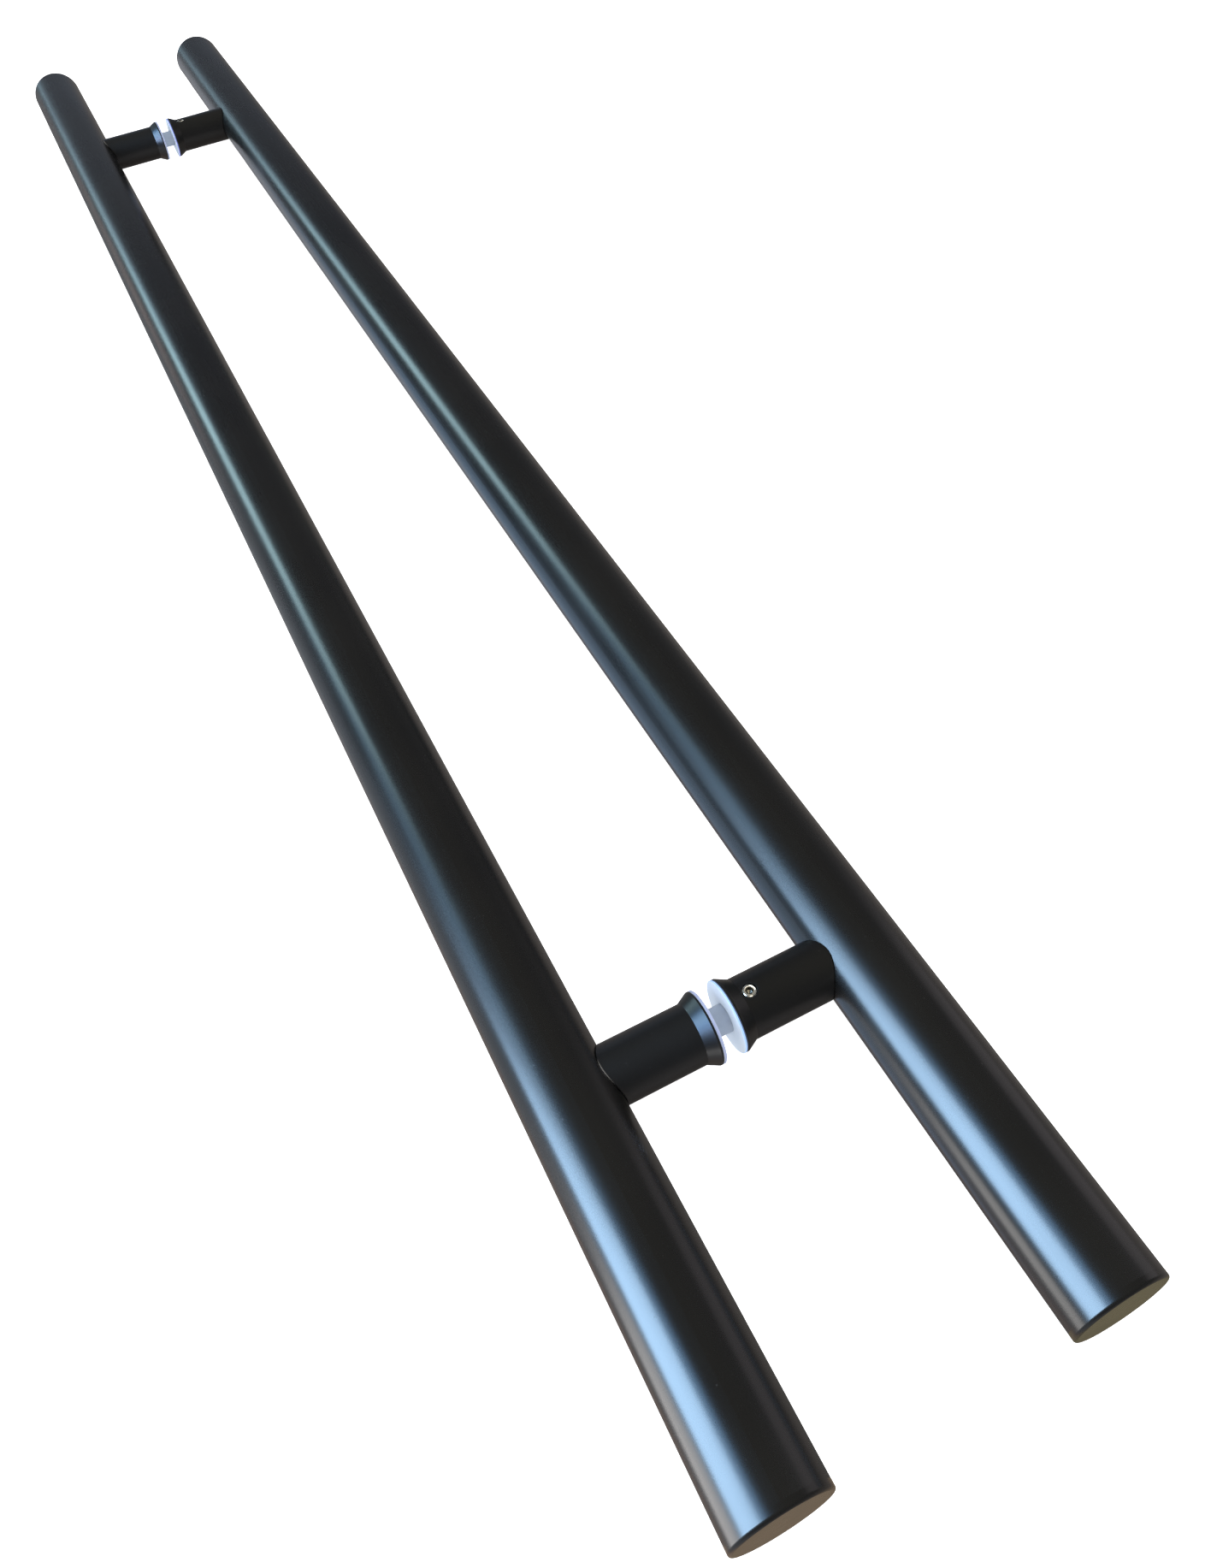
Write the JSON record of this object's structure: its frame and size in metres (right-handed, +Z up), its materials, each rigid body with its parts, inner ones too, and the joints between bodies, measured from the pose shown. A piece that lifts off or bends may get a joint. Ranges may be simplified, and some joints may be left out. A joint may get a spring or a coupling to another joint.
{
  "type": "ladder pull handle",
  "caption": "Back-to-back ladder pull handle: long round black bars on flared posts, clamped to each other through a glass door with white gaskets and sleeves.",
  "frame": {"origin": "the middle of the slot that the glass fills, halfway between the two clamps and on the bars' level", "axes": "+X along the bars, which is up when the handle hangs on a door; +Y square to the glass, from the front bar to the rear bar; +Z up as the handle lies on its two bars, which is the side that the set screws face"},
  "size_m": [1.2, 0.1668, 0.038],
  "materials": {
    "coated_steel": "satin black coating",
    "stainless_steel": "machined",
    "white_plastic": "translucent white"
  },
  "bodies": {
    "root": {"front_bar_tube": "coated_steel", "front_upper_end_cap": "coated_steel", "front_upper_post": "coated_steel", "front_upper_bar_boss": "stainless_steel", "front_upper_post_screw": "stainless_steel", "front_upper_gasket": "white_plastic", "front_lower_end_cap": "coated_steel", "front_lower_post": "coated_steel", "front_lower_bar_boss": "stainless_steel", "front_lower_post_screw": "stainless_steel", "front_lower_gasket": "white_plastic", "rear_bar_tube": "coated_steel", "rear_upper_end_cap": "coated_steel", "rear_upper_post": "coated_steel", "rear_upper_bar_boss": "stainless_steel", "rear_upper_post_screw": "stainless_steel", "rear_upper_gasket": "white_plastic", "rear_lower_end_cap": "coated_steel", "rear_lower_post": "coated_steel", "rear_lower_bar_boss": "stainless_steel", "rear_lower_post_screw": "stainless_steel", "rear_lower_gasket": "white_plastic", "upper_threaded_anchor": "stainless_steel", "upper_mounting_bush": "stainless_steel", "upper_clamp_bolt": "stainless_steel", "upper_set_screw": "stainless_steel", "upper_glass_sleeve": "white_plastic", "lower_threaded_anchor": "stainless_steel", "lower_mounting_bush": "stainless_steel", "lower_clamp_bolt": "stainless_steel", "lower_set_screw": "stainless_steel", "lower_glass_sleeve": "white_plastic"}
  },
  "joints": []
}
